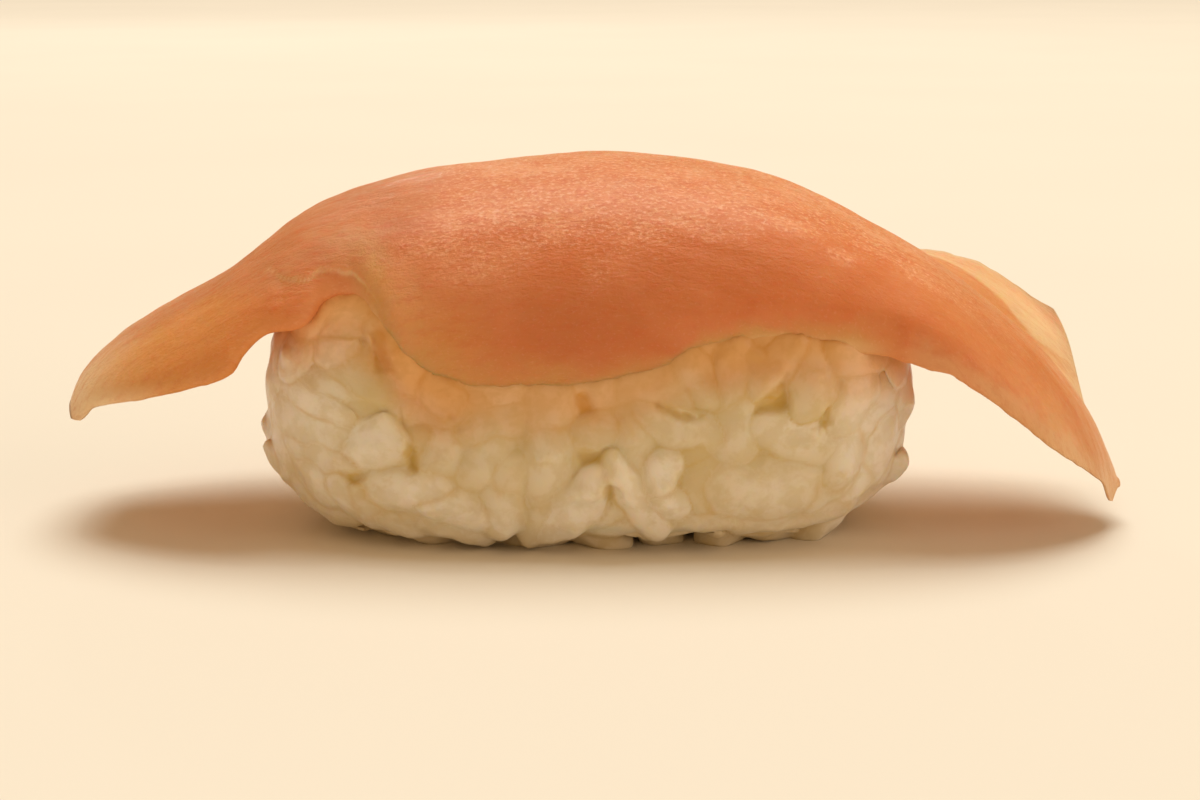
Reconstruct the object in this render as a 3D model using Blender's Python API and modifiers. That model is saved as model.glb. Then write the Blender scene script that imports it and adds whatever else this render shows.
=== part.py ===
"""Nigiri sushi: a slice of orange-pink fish draped over a hand-pressed block of rice.

Two solids: the slice, and the block with the grains that show on it. +X runs along the
piece, -Y is its front and +Z is up. The origin is below the piece's middle, on the surface
that the rice stands on. The sizes below are in millimetres.
"""

import math
import random

import bmesh
import bpy
from mathutils import Matrix, Vector

MM = 0.001

# The slice. Heights along it, as (x, z): the top of its crest and its two lower edges.
CREST_LINE = ((-39.2, 10.0), (-38.0, 12.0), (-35.0, 14.4), (-27.5, 18.5), (-18.8, 24.3), (-10.0, 26.6),
              (0.5, 27.6), (10.0, 26.6), (20.0, 22.4), (30.0, 15.6), (36.0, 9.6), (38.0, 6.5), (39.4, 4.2))
FRONT_EDGE = ((-38.2, 9.1), (-34.5, 10.8), (-29.0, 12.0), (-25.0, 13.4), (-21.4, 15.8), (-17.2, 18.9),
              (-14.8, 17.4), (-11.8, 13.4), (-8.5, 12.4), (-2.0, 12.1), (3.2, 12.9), (8.6, 15.4), (13.0, 16.1),
              (20.5, 15.2), (24.3, 13.9), (34.5, 6.6), (39.4, 3.1))
BACK_EDGE = ((-38.6, 9.6), (-31.0, 13.0), (-14.0, 14.6), (4.0, 12.6), (16.0, 14.6), (26.0, 18.5),
             (29.3, 18.1), (36.0, 14.5), (39.4, 12.0))
# Where the front would hang to if its edge weren't trimmed back, as (x, z).
FRONT_HANG = ((-38.2, 8.9), (-34.5, 10.7), (-29.0, 11.6), (-20.0, 12.2), (-8.5, 12.3), (-2.0, 12.0),
              (12.0, 13.2), (22.0, 13.0), (28.0, 11.1), (34.5, 6.5), (39.4, 3.0))
# How far those edges lie from the crest in plan, as (x, distance).
FRONT_SPREAD = ((-39.2, 4.6), (-36.0, 7.2), (-31.0, 9.8), (-22.0, 12.4), (-8.0, 13.6), (8.0, 13.6),
                (22.0, 12.6), (31.0, 10.2), (36.5, 7.0), (39.4, 3.0))
BACK_SPREAD = ((-39.2, 5.0), (-36.0, 7.8), (-31.0, 10.4), (-22.0, 12.6), (-8.0, 13.6), (8.0, 13.6),
               (22.0, 13.0), (31.0, 11.8), (36.0, 10.2), (39.4, 6.0))
LEFT_END = -39.2
RIGHT_END = 39.4
LEFT_END_BOW = 1.2  # the left end's corners stop this much short of its middle
RIGHT_END_SLANT = 2.5  # the right end's back corner stops this much short of its front one
THICKNESS = 6.4  # at the crest, mid-length
END_THICKNESS = 3.4
THINNING_SPAN = (10.0, 36.0)  # the crest thins between these distances from the middle
EDGE_THICKNESS = 0.46  # share of the thickness that is left beside the front and back edges
EDGE_THINNING_FROM = 0.35  # share of the way to the edge where that thinning starts
EDGE_ROUNDING = 7.0  # how close to the edge the thickness rounds off
END_ROUNDING = 28.0
EDGE_TURN = math.radians(84)  # how far the section turns down at its edges
LEAST_THICKNESS = 0.7
BACK_DIP = 1.3  # hollow behind the crest at the right tail
BACK_DIP_SPAN = (20.0, 31.0)  # it deepens between these places along the slice
BACK_DIP_WIDTH = 0.8  # share of the way from the crest to the back edge
SLICE_CELLS_ALONG = 44
SLICE_CELLS_ACROSS = 14

# The rice block: a superellipsoid cut off by the surface it stands on.
BLOCK_MIDDLE_X = -0.7
BLOCK_HALF_LENGTH = 23.7
BLOCK_HALF_WIDTH = 12.2
BLOCK_WIDEST_HEIGHT = 8.4
BLOCK_RISE = 14.2  # from the widest height to the top
BLOCK_FALL = 12.6  # from the widest height to where the bottom would close
BLOCK_PLAN_POWER = 2.9
BLOCK_SIDE_POWER = 2.5
CORE_INSET = 0.9
CORE_DETAIL = 3
CLEARANCE = 0.3  # between the rice and the slice

# Grains: length, width and thickness of a cooked short grain.
GRAIN_SIZE = (7.2, 3.4, 2.9)
GRAIN_SIZE_SPREAD = 0.14
GRAIN_SIDES = 6
GRAIN_RINGS = 4
GRAIN_BLUNTNESS = 1.09
GRAIN_SPACING = 3.25
GRAIN_LOWEST = -0.5  # a grain's middle is no lower than this
GRAIN_TILT = math.radians(14)
GRAIN_SINK = 1.0
GRAIN_TRIES = 9000
SEED = 12

FISH_COLOUR = (0.72, 0.21, 0.08, 1.0)
RICE_COLOUR = (0.78, 0.66, 0.44, 1.0)


def rise_between(points, i):
    (x0, z0), (x1, z1) = points[i], points[i + 1]
    return (z1 - z0) / (x1 - x0)


def slope_at(points, i):
    """The slope at a point of the curve below: flat at a peak or a dip."""
    if i == 0:
        return rise_between(points, 0)
    if i == len(points) - 1:
        return rise_between(points, i - 1)
    before, after = rise_between(points, i - 1), rise_between(points, i)
    return 0.0 if before * after <= 0 else 2 * before * after / (before + after)


def through(points, x):
    """A smooth curve through (x, z) points that doesn't overshoot between them."""
    x = min(max(x, points[0][0]), points[-1][0])
    i = max(k for k in range(len(points) - 1) if points[k][0] <= x)
    (x0, z0), (x1, z1) = points[i], points[i + 1]
    span = x1 - x0
    t = (x - x0) / span
    start = (1 + 2 * t) * (1 - t) ** 2 * z0 + t * (1 - t) ** 2 * span * slope_at(points, i)
    end = t**2 * (3 - 2 * t) * z1 - t**2 * (1 - t) * span * slope_at(points, i + 1)
    return start + end


def smooth(low, high, x):
    t = min(1.0, max(0.0, (x - low) / (high - low)))
    return t * t * (3 - 2 * t)


def crest_thickness(x):
    return THICKNESS - (THICKNESS - END_THICKNESS) * smooth(*THINNING_SPAN, abs(x))


def slice_thickness(u, v):
    """Thickness at u from -1 to 1 along and v from -1 to 1 across."""
    x = slice_x(u, v)
    thinning = 1 - (1 - EDGE_THICKNESS) * smooth(EDGE_THINNING_FROM, 1.0, abs(v))
    rounding = math.sqrt(max(0.0, 1 - abs(v) ** EDGE_ROUNDING) * max(0.0, 1 - abs(u) ** END_ROUNDING))
    return max(LEAST_THICKNESS, crest_thickness(x) * thinning * rounding)


def slice_x(u, v):
    left = LEFT_END + LEFT_END_BOW * v * v
    right = RIGHT_END - RIGHT_END_SLANT * smooth(-0.4, 1.0, v)
    return left + (right - left) * (u + 1) / 2


def front_turn(crest, hang, x):
    """How far the section turns before it meets the trimmed front edge."""
    kept = min(1.0, max(0.05, (crest - through(FRONT_EDGE, x)) / (crest - hang)))
    return math.acos(1 - kept * (1 - math.cos(EDGE_TURN)))


def slice_point(u, v):
    """A point of the sheet halfway through the slice."""
    x = slice_x(u, v)
    crest = through(CREST_LINE, x) - crest_thickness(x) / 2
    hang = through(FRONT_HANG if v < 0 else BACK_EDGE, x)
    spread = through(FRONT_SPREAD if v < 0 else BACK_SPREAD, x)
    turn = abs(v) * (front_turn(crest, hang, x) if v < 0 else EDGE_TURN)
    fall = (1 - math.cos(turn)) / (1 - math.cos(EDGE_TURN))
    out = math.sin(turn) / math.sin(EDGE_TURN)
    z = crest - (crest - hang) * fall
    if v > 0:
        z -= BACK_DIP * smooth(*BACK_DIP_SPAN, x) * math.sin(math.pi * min(1.0, v / BACK_DIP_WIDTH)) ** 2
    return Vector((x, math.copysign(spread * out, v), z))


def new_object(name, mesh, collection):
    obj = bpy.data.objects.new(name, mesh)
    collection.objects.link(obj)
    return obj


def slice_object(name, grow, collection):
    """The slice as a grid bent into shape and given its thickness, grown all round by grow."""
    shape = bmesh.new()
    bmesh.ops.create_grid(shape, x_segments=SLICE_CELLS_ALONG, y_segments=SLICE_CELLS_ACROSS, size=1.0)
    most = THICKNESS + 2 * grow
    stretch = 1 + grow / max(spread for _, spread in FRONT_SPREAD)
    weights = []
    for vert in shape.verts:
        u, v = vert.co.x, vert.co.y
        weights.append((slice_thickness(u, v) + 2 * grow) / most)
        vert.co = slice_point(u, v * stretch) * MM
    bmesh.ops.triangulate(shape, faces=shape.faces, quad_method="SHORT_EDGE")
    mesh = bpy.data.meshes.new(name)
    shape.to_mesh(mesh)
    shape.free()
    obj = new_object(name, mesh, collection)
    group = obj.vertex_groups.new(name="thickness")
    for index, weight in enumerate(weights):
        group.add([index], weight, "REPLACE")
    shell = obj.modifiers.new("Thickness", "SOLIDIFY")
    shell.thickness = most * MM
    shell.offset = 0.0
    shell.vertex_group = group.name
    return obj


def block_point(direction, inset=0.0):
    """Where a ray from the block's middle leaves the block, taken in by inset."""
    rise = BLOCK_RISE if direction.z > 0 else BLOCK_FALL
    plan = (
        abs(direction.x / (BLOCK_HALF_LENGTH - inset)) ** BLOCK_PLAN_POWER
        + abs(direction.y / (BLOCK_HALF_WIDTH - inset)) ** BLOCK_PLAN_POWER
    )
    side = plan ** (BLOCK_SIDE_POWER / BLOCK_PLAN_POWER) + abs(direction.z / (rise - inset)) ** BLOCK_SIDE_POWER
    return direction * side ** (-1 / BLOCK_SIDE_POWER) + Vector((BLOCK_MIDDLE_X, 0, BLOCK_WIDEST_HEIGHT))


def block_normal(direction):
    """The block's outward direction there, from two neighbouring rays."""
    side = direction.orthogonal().normalized()
    other = direction.cross(side)
    here = block_point(direction)
    step = 0.02
    along = block_point((direction + side * step).normalized()) - here
    across = block_point((direction + other * step).normalized()) - here
    return along.cross(across).normalized()


def core_mesh():
    shape = bmesh.new()
    bmesh.ops.create_icosphere(shape, subdivisions=CORE_DETAIL, radius=1.0)
    for vert in shape.verts:
        vert.co = block_point(vert.co.normalized(), CORE_INSET) * MM
    mesh = bpy.data.meshes.new("rice")
    shape.to_mesh(mesh)
    shape.free()
    return mesh


def grain_places(rng):
    """Points on the block, each at least a spacing from the others, with the way out there."""
    places = []
    for _ in range(GRAIN_TRIES):
        spot = Vector((rng.uniform(-1, 1), rng.uniform(-1, 1), rng.uniform(-1, 1)))
        if not 0.1 < spot.length < 1:
            continue
        stretched = Vector((spot.x * BLOCK_HALF_LENGTH, spot.y * BLOCK_HALF_WIDTH, spot.z * BLOCK_RISE))
        direction = stretched.normalized()
        point = block_point(direction)
        if point.z < GRAIN_LOWEST or under_the_slice(point):
            continue
        if all((point - other).length > GRAIN_SPACING for other, _ in places):
            places.append((point, block_normal(direction)))
    return places


def under_the_slice(point):
    """Whether the slice hides the rice there."""
    edge = through(FRONT_EDGE if point.y < 0 else BACK_EDGE, point.x)
    return point.z > edge + 1.0


def grain_mesh(rng, point, outward):
    size = [s * rng.uniform(1 - GRAIN_SIZE_SPREAD, 1 + GRAIN_SIZE_SPREAD) for s in GRAIN_SIZE]
    shape = bmesh.new()
    bmesh.ops.create_uvsphere(shape, u_segments=GRAIN_SIDES, v_segments=GRAIN_RINGS, radius=0.5)
    for vert in shape.verts:
        on_equator = abs(vert.co.z) < 0.01
        on_pole = abs(vert.co.z) > 0.49
        if not on_equator and not on_pole:
            vert.co *= GRAIN_BLUNTNESS
    lie = outward.to_track_quat("Z", "X").to_matrix().to_4x4()
    spin = Matrix.Rotation(rng.uniform(0, math.pi), 4, "Z")
    tilt = Matrix.Rotation(rng.gauss(0, 1) * GRAIN_TILT, 4, "Y")
    along_x = Matrix.Rotation(math.pi / 2, 4, "Y")
    place = Matrix.Translation((point - outward * GRAIN_SINK) * MM)
    scale = Matrix.Diagonal((size[0] * MM, size[1] * MM, size[2] * MM, 1.0))
    bmesh.ops.transform(shape, verts=shape.verts, matrix=place @ lie @ spin @ tilt @ scale @ along_x)
    mesh = bpy.data.meshes.new("grain")
    shape.to_mesh(mesh)
    shape.free()
    return mesh


def join_all(obj, pieces):
    union = obj.modifiers.new("Union", "BOOLEAN")
    union.operation = "UNION"
    union.operand_type = "COLLECTION"
    union.collection = pieces
    apply_modifiers(obj)


def cut_away(obj, cutter):
    cut = obj.modifiers.new("Cut", "BOOLEAN")
    cut.operation = "DIFFERENCE"
    cut.object = cutter
    apply_modifiers(obj)


def apply_modifiers(obj):
    graph = bpy.context.evaluated_depsgraph_get()
    mesh = bpy.data.meshes.new_from_object(obj.evaluated_get(graph))
    obj.modifiers.clear()
    old, obj.data = obj.data, mesh
    bpy.data.meshes.remove(old)


def keep_largest_body(mesh):
    """Drops loose scraps and fills sealed hollows: the smaller ones of the mesh's closed skins."""
    shape = bmesh.new()
    shape.from_mesh(mesh)
    left = set(shape.faces)
    skins = []
    while left:
        skin, found = [], [left.pop()]
        while found:
            face = found.pop()
            skin.append(face)
            for other in (link for edge in face.edges for link in edge.link_faces):
                if other in left:
                    left.remove(other)
                    found.append(other)
        skins.append(skin)
    skins.sort(key=len)
    bmesh.ops.delete(shape, geom=[face for skin in skins[:-1] for face in skin], context="FACES")
    shape.to_mesh(mesh)
    shape.free()


def floor_object(name, collection):
    """A box whose top is the surface that the rice stands on."""
    span = 4 * BLOCK_HALF_LENGTH * MM
    shape = bmesh.new()
    bmesh.ops.create_cube(shape, size=span, matrix=Matrix.Translation((0, 0, -span / 2)))
    mesh = bpy.data.meshes.new(name)
    shape.to_mesh(mesh)
    shape.free()
    return new_object(name, mesh, collection)


def rice_block(collection, cutters):
    rng = random.Random(SEED)
    rice = new_object("rice", core_mesh(), collection)
    grains = bpy.data.collections.new("grains")
    bpy.context.scene.collection.children.link(grains)
    for index, (point, outward) in enumerate(grain_places(rng)):
        new_object(f"grain_{index:03d}", grain_mesh(rng, point, outward), grains)
    join_all(rice, grains)
    for grain in list(grains.objects):
        bpy.data.objects.remove(grain)
    bpy.data.collections.remove(grains)
    for cutter in (slice_object("slice_clearance", CLEARANCE, cutters), floor_object("floor", cutters)):
        cut_away(rice, cutter)
        cutter.hide_render = True
        cutter.display_type = "WIRE"
    keep_largest_body(rice.data)
    return rice


def material(name, colour, roughness):
    made = bpy.data.materials.new(name)
    made.use_nodes = True
    shader = made.node_tree.nodes["Principled BSDF"]
    shader.inputs["Base Color"].default_value = colour
    shader.inputs["Roughness"].default_value = roughness
    shader.inputs["Metallic"].default_value = 0.0
    made.diffuse_color = colour
    return made


def main():
    for obj in list(bpy.data.objects):
        bpy.data.objects.remove(obj)
    sushi = bpy.data.collections.new("nigiri_sushi")
    cutters = bpy.data.collections.new("cutters")
    for collection in (sushi, cutters):
        bpy.context.scene.collection.children.link(collection)
    fish = slice_object("fish_slice", 0.0, sushi)
    rice = rice_block(sushi, cutters)
    for obj, finish in (
        (fish, material("fish", FISH_COLOUR, 0.35)),
        (rice, material("rice", RICE_COLOUR, 0.45)),
    ):
        obj.data.materials.clear()
        obj.data.materials.append(finish)
        obj.data.shade_smooth()
        obj.data.set_sharp_from_angle(angle=math.radians(40))


main()
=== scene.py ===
"""The looks of a piece of nigiri sushi: a draped slice of raw fish over pressed rice.

Laid out as an add-on and run as a script. Each piece has its operator, and the sizes and
colours that a user would change are in the property groups. Places and sizes in the source
are in millimetres unless a comment says otherwise, in the frame's own axes: +X along the
piece, -Y its front, +Z up.
"""

import itertools
import math
import random
from typing import NamedTuple

import bmesh
import bpy
import numpy as np
from bpy.props import FloatProperty, FloatVectorProperty, IntProperty, PointerProperty
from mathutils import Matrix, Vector
from mathutils.kdtree import KDTree


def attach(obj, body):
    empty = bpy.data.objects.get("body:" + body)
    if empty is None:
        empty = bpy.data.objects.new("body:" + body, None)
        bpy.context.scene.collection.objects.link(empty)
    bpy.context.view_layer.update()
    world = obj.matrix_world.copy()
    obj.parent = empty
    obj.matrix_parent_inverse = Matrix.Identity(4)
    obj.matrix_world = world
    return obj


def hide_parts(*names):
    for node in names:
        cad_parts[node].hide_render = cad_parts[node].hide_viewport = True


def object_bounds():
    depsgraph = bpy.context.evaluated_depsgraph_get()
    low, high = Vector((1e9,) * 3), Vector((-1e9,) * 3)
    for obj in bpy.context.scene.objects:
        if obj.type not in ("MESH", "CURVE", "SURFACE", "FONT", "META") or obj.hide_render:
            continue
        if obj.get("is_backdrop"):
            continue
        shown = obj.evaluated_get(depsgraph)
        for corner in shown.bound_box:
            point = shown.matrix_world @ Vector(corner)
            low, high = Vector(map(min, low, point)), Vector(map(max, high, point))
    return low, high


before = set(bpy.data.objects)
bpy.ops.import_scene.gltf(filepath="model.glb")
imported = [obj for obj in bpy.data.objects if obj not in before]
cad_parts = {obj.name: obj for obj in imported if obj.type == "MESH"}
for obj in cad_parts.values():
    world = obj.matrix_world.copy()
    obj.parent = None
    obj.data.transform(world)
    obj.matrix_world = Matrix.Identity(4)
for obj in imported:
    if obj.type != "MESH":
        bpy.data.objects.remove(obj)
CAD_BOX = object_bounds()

bl_info = {
    "name": "Nigiri Sushi",
    "version": (1, 0, 0),
    "blender": (4, 5, 0),
    "location": "View3D > Sidebar > Sushi",
    "description": "Builds a piece of nigiri sushi and a small stage for it",
    "category": "Add Mesh",
}

MM = 0.001

# The slice, as (x, z): the top of its crest, its lower edges, and where its front would hang
# to if its edge weren't trimmed back.
CREST_LINE = ((-39.2, 10.0), (-38.0, 12.0), (-35.0, 14.4), (-27.5, 18.5), (-18.8, 24.3), (-10.0, 26.6),
              (0.5, 27.6), (10.0, 26.6), (20.0, 22.4), (30.0, 15.6), (36.0, 9.6), (38.0, 6.5), (39.4, 4.2))
FRONT_EDGE = ((-39.2, 9.3), (-38.4, 8.7), (-37.8, 8.7), (-37.2, 9.1), (-36.4, 9.9), (-32.0, 11.1),
              (-29.0, 12.0), (-25.4, 13.3), (-24.7, 14.2), (-22.6, 15.7), (-20.4, 16.3), (-18.6, 17.9),
              (-17.0, 18.2), (-15.4, 17.2), (-12.8, 13.2), (-8.5, 11.6), (-2.0, 11.3), (3.2, 12.3),
              (8.6, 14.8), (13.0, 15.5), (20.5, 14.9), (24.3, 13.6), (34.5, 6.2), (36.4, 4.9),
              (37.5, 3.9), (38.2, 2.5), (38.6, 2.1), (39.0, 2.7), (39.5, 2.9))
FRONT_HANG = ((-39.2, 9.2), (-38.4, 8.5), (-37.8, 8.5), (-37.2, 8.9), (-36.4, 9.7), (-32.0, 10.9),
              (-29.0, 11.6), (-20.0, 11.9), (-8.5, 11.5), (-2.0, 11.2), (12.0, 12.8), (22.0, 12.9),
              (28.0, 11.0), (34.5, 6.1), (36.4, 4.8), (37.5, 3.8), (38.2, 2.4), (38.6, 2.0),
              (39.0, 2.6), (39.5, 2.8))
BACK_EDGE = ((-38.6, 9.6), (-31.0, 13.0), (-14.0, 14.6), (4.0, 12.6), (16.0, 14.6), (26.0, 18.5),
             (29.3, 18.1), (36.0, 14.5), (39.4, 12.0))
# How far those edges lie from the crest in plan, as (x, distance).
FRONT_SPREAD = ((-39.2, 4.6), (-36.0, 7.2), (-31.0, 9.8), (-22.0, 12.2), (-8.0, 12.2), (8.0, 12.2),
                (22.0, 12.2), (31.0, 10.2), (36.5, 7.0), (39.4, 3.0))
BACK_SPREAD = ((-39.2, 5.0), (-36.0, 7.8), (-31.0, 10.4), (-22.0, 12.6), (-8.0, 13.6), (8.0, 13.6),
               (22.0, 13.0), (31.0, 11.8), (36.0, 10.2), (39.4, 6.0))
LEFT_END = -39.2
RIGHT_END = 39.5
LEFT_END_BOW = 0.8
LEFT_END_STRAYS = 0.25
RIGHT_END_SLANT = 1.8
RIGHT_END_STRAYS = 0.2
END_STRAYS_SCALE = 4.0
END_THICKNESS = 3.4
THINNING_SPAN = (10.0, 36.0)
TIP_THINNING = 1.8  # at the very ends
TIP_THINNING_SPAN = (32.0, 39.5)
# The share of the crest's thickness that is left at each edge, as (x, share).
FRONT_EDGE_SHARE = ((-39.2, 0.42), (-22.0, 0.42), (-18.0, 0.36), (-13.4, 0.3), (20.0, 0.3), (39.4, 0.34))
BACK_EDGE_SHARE = ((-39.2, 0.42), (10.0, 0.4), (22.0, 0.2), (39.4, 0.16))
# How far the front edge sinks in towards the rice it lies on, as (x, depth).
FRONT_SINKING = ((-21.0, 0.0), (-18.8, 0.3), (-15.5, 0.4), (-12.0, 0.5), (-6.0, 0.25), (4.0, 0.25),
                 (12.0, 0.7), (18.0, 1.2), (22.0, 1.0), (25.0, 0.0))
SINKING_FROM = 0.8
EDGE_THINNING_FROM = 0.35
EDGE_ROUNDING = 9.0
END_ROUNDING = 16.0
CORNER_ROUNDING = 1.0  # of the back corner of the right end
CORNER_FROM = 0.6
EDGE_TURN = math.radians(84)
LEAST_THICKNESS = 0.2
BACK_DIP = 1.3
BACK_DIP_SPAN = (20.0, 31.0)
BACK_DIP_END = (33.0, 38.0)
BACK_DIP_WIDTH = 0.8
SLICE_CELLS = (340, 140)  # along and across
EDGE_CROWDING = 0.25  # how much closer the cells lie beside the front and back edges
SECTION_LENGTH = 21.0  # from the crest to a lower edge, over the surface
BACK_NOISE_SHIFT = 200.0  # so that the back edge is ragged in other places than the front one

# The relief on top of the slice, and how close to its edges and its ends it goes.
FIBRE_RELIEF = 0.05
WAVE_RELIEF = 0.16
LUMP_RELIEF = 0.08
FIBRE_SLANT = 0.16
RELIEF_EDGE_POWER = 14
RELIEF_END_POWER = 60

# How far the fold of the flap at the right lies from the slice's back edge, as (x, distance).
FLAP_FOLD = ((24.0, 0.8), (28.5, 3.0), (31.2, 4.8), (33.7, 6.2), (35.5, 5.8), (39.4, 4.2))

# The edge of the slice's top layer over the notch, as (x, distance from the front edge).
LAYER_EDGE = ((-22.0, 3.9), (-21.4, 3.3), (-20.3, 2.4), (-19.3, 1.4), (-18.5, 1.2), (-17.2, 1.0),
              (-16.2, 1.0), (-15.2, 1.3))
LAYER_STEP = 0.14
LAYER_EDGE_WIDTH = 0.11

# Where parts of the slice begin and where they are in full, along x.
TAILS_SPAN = (18.0, 32.0)  # to each side
LEFT_TAIL_SPAN = (-15.0, -33.0)
RIGHT_TAIL_SPAN = (17.0, 38.0)
LEFT_TIP_SPAN = (-30.0, -38.0)
RIGHT_TIP_SPAN = (31.0, 38.0)
RIGHT_POINT_SPAN = (36.4, 38.6)
# The next two spans hold the painted shade along the crest.
LEFT_RIDGE_SPAN = (-9.0, -18.5)
RIGHT_RIDGE_SPAN = (20.0, 28.0)
LEFT_RIM_SPAN = (-29.0, -33.0)
RIGHT_RIM_SPAN = (20.5, 23.5)
FLAP_SPAN = (23.0, 26.0)
FOLD_SPAN = (33.0, 35.0)
# The same for parts that end again: begins, in full, starts to end, ended.
RESTING_SPAN = (-17.5, -13.5, 17.0, 22.0)
LAYER_SPAN = (-22.0, -21.2, -16.2, -15.2)
NOTCH_LIP_SPAN = (-20.0, -19.0, -16.0, -15.0)
JAGGED_SPAN = (-22.0, -19.5, -14.5, -12.0)
LEFT_BLEED_SPAN = (-23.0, -18.0, -13.0, -8.0)

# The block of rice: a rounded oblong round (BLOCK_MIDDLE_X, 0, BLOCK_WIDEST_HEIGHT).
BLOCK_MIDDLE_X = -0.5
BLOCK_HALF_LENGTH = 23.2
BLOCK_HALF_WIDTH = 12.2
BLOCK_WIDEST_HEIGHT = 8.4
BLOCK_RISE = 17.0
BLOCK_FALL = 11.9
BLOCK_PLAN_POWER = 2.9
BLOCK_UPPER_POWER = 2.5
BLOCK_LOWER_POWER = 2.2
BLOCK_MIDDLE = np.array([BLOCK_MIDDLE_X, 0.0, BLOCK_WIDEST_HEIGHT])

# The grains that show in front, as (x, z, length, width, lean in degrees, whiteness, how far
# it stands out of the block). A lean of 90 is upright, and a positive one rises to the right.
FRONT_GRAINS = (
    (-17.8, 14.7, 3.2, 2.3, -20, 0.9, 1.2),
    (-20.3, 14.4, 4.6, 2.8, 60, 0.3, 1.7),
    (-22.3, 13.0, 5.0, 2.8, 80, 0.2, 1.2),
    (-14.6, 16.2, 4.0, 2.6, -50, 0.1, 1.3),
    (-13.2, 14.0, 4.2, 2.8, -60, 0.2, 1.1),
    (-16.8, 16.8, 4.4, 2.8, 20, 0.1, 1.5),
    (-18.9, 16.6, 4.4, 2.8, 50, 0.1, 1.9),
    (-11.2, 12.4, 4.4, 2.8, -40, 0.2, 0.9),
    (-15.8, 13.2, 5.0, 3.0, -20, 0.1, 0.9),
    (-17.0, 12.4, 6.6, 2.4, 8, 0.4, 0.5),
    (-19.2, 11.0, 5.2, 2.2, -26, 0.8, 0.8),
    (-20.0, 9.1, 6.4, 2.6, -8, 0.7, 0.8),
    (-19.4, 7.2, 5.8, 2.6, -10, 0.4, 0.6),
    (-15.5, 8.4, 4.9, 3.3, 27, 0.9, 1.1),
    (-19.6, 5.0, 3.8, 2.4, -60, 0.6, 0.8),
    (-17.6, 4.4, 3.6, 2.4, -45, 0.5, 0.8),
    (-16.2, 3.2, 4.6, 2.2, 84, 0.4, 0.7),
    (-13.3, 5.2, 6.2, 2.9, 8, 0.9, 1.0),
    (-9.8, 3.6, 6.4, 3.0, -24, 0.8, 0.9),
    (-12.3, 2.0, 3.4, 1.8, -20, 0.2, 0.4),
    (-6.7, 3.6, 4.8, 2.6, 85, 0.6, 0.9),
    (-10.7, 7.9, 4.6, 3.0, 70, 0.4, 0.6),
    (-7.6, 7.3, 4.4, 2.7, 60, 0.4, 0.6),
    (-7.4, 10.0, 5.2, 2.6, 12, 0.3, 0.5),
    (-11.6, 11.2, 5.6, 2.8, -12, 0.3, 0.4),
    (-3.3, 11.0, 5.6, 3.0, 80, 0.3, 0.6),
    (-3.4, 7.3, 5.4, 3.0, 84, 0.5, 0.8),
    (-1.2, 4.2, 7.6, 2.9, 54, 0.9, 1.1),
    (1.0, 3.4, 3.6, 2.0, 30, 0.3, 0.5),
    (0.7, 9.7, 5.6, 2.8, 14, 0.3, 0.5),
    (2.9, 4.6, 7.4, 2.3, -58, 0.9, 1.1),
    (2.6, 8.4, 5.2, 2.5, -78, 0.3, 0.7),
    (4.9, 6.7, 3.4, 2.2, 66, 0.9, 1.0),
    (5.1, 4.5, 2.8, 2.0, -10, 0.9, 1.0),
    (12.0, 5.2, 8.4, 4.0, -4, 0.6, 1.0),
    (16.4, 4.8, 4.6, 2.6, 30, 0.5, 0.7),
    (7.6, 2.7, 5.6, 2.0, -6, 0.3, 0.5),
    (7.6, 5.4, 4.0, 2.6, 80, 0.2, 0.5),
    (13.8, 9.2, 6.2, 3.0, -20, 0.6, 0.9),
    (17.6, 7.4, 5.0, 2.6, 78, 0.5, 0.8),
    (9.6, 13.6, 4.8, 2.8, 86, 0.3, 0.9),
    (12.4, 13.8, 5.4, 2.6, 46, 0.3, 1.2),
    (7.2, 13.4, 4.4, 2.2, -60, 0.3, 0.7),
    (4.2, 12.6, 5.6, 2.6, -8, 0.2, 0.4),
    (6.0, 9.9, 6.6, 2.6, -16, 0.4, 0.7),
    (9.9, 9.6, 5.2, 2.8, 84, 0.4, 0.6),
    (15.0, 13.2, 5.4, 2.8, 76, 0.4, 1.4),
    (17.6, 11.2, 4.6, 2.8, 64, 0.5, 1.3),
    (17.8, 14.4, 4.8, 2.8, -10, 0.2, 1.9),
    # These four grains at the right end are made whiter partly as painted light.
    (20.8, 13.8, 4.0, 2.8, 70, 0.7, 1.8),
    (21.8, 10.8, 4.4, 2.8, 84, 0.8, 1.4),
    (20.4, 7.2, 5.0, 2.8, 70, 0.7, 0.9),
    (18.4, 4.4, 4.4, 2.4, 60, 0.7, 0.7),
    (12.6, 2.2, 6.0, 2.2, 4, 0.4, 0.8),
    (-3.8, 2.2, 4.6, 2.4, 70, 0.3, 0.7),
    (-0.6, 7.6, 4.0, 2.2, -70, 0.1, 0.2),
    (-9.4, 1.7, 5.0, 2.4, -20, 0.5, 0.9),
    (-14.4, 2.0, 4.4, 2.2, -30, 0.4, 0.8),
    (1.4, 2.2, 4.0, 2.2, 20, 0.3, 0.6),
    (4.6, 2.2, 3.6, 2.2, 50, 0.3, 0.5),
    (16.2, 2.8, 4.6, 2.4, 20, 0.4, 0.8),
    (-6.4, 5.6, 4.2, 2.6, 70, 0.4, 0.6),
)
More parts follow.
